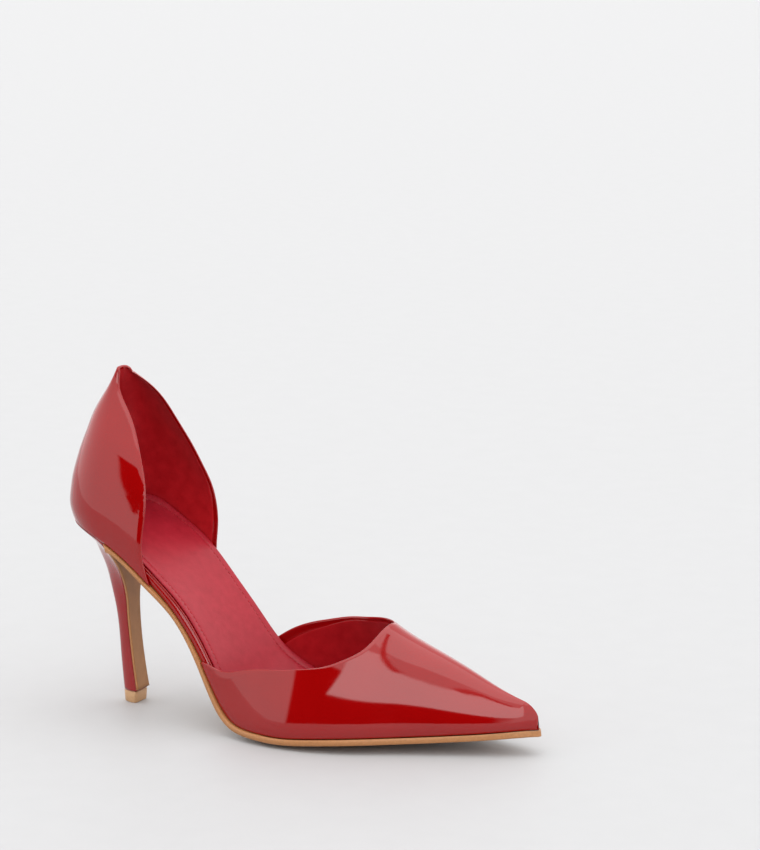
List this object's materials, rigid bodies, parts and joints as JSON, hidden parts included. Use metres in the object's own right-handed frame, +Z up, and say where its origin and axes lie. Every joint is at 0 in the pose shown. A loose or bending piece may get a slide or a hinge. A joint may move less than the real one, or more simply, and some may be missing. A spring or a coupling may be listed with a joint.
{
  "type": "pump shoe",
  "caption": "High-heeled pump with a pointed closed toe, a separate closed back, an open waist and a slim stiletto heel.",
  "frame": {"origin": "on the floor, under the middle of the heel's top piece", "axes": "+X from the heel to the toe along the floor, +Y to the wearer's left, which is the inner side of this right shoe, +Z up"},
  "size_m": [0.2393, 0.0715, 0.1619],
  "materials": {
    "patent": "high gloss deep red patent over a satin red lining",
    "sock": "soft satin red with tone-on-tone stitching",
    "sole": "smooth tan with a lighter edge",
    "top_piece": "matt tan"
  },
  "bodies": {
    "root": {"outsole": "sole", "insole_board": "patent", "sock": "sock", "upper_vamp": "patent", "upper_quarter": "patent", "heel": "patent", "top_piece": "top_piece"}
  },
  "joints": []
}
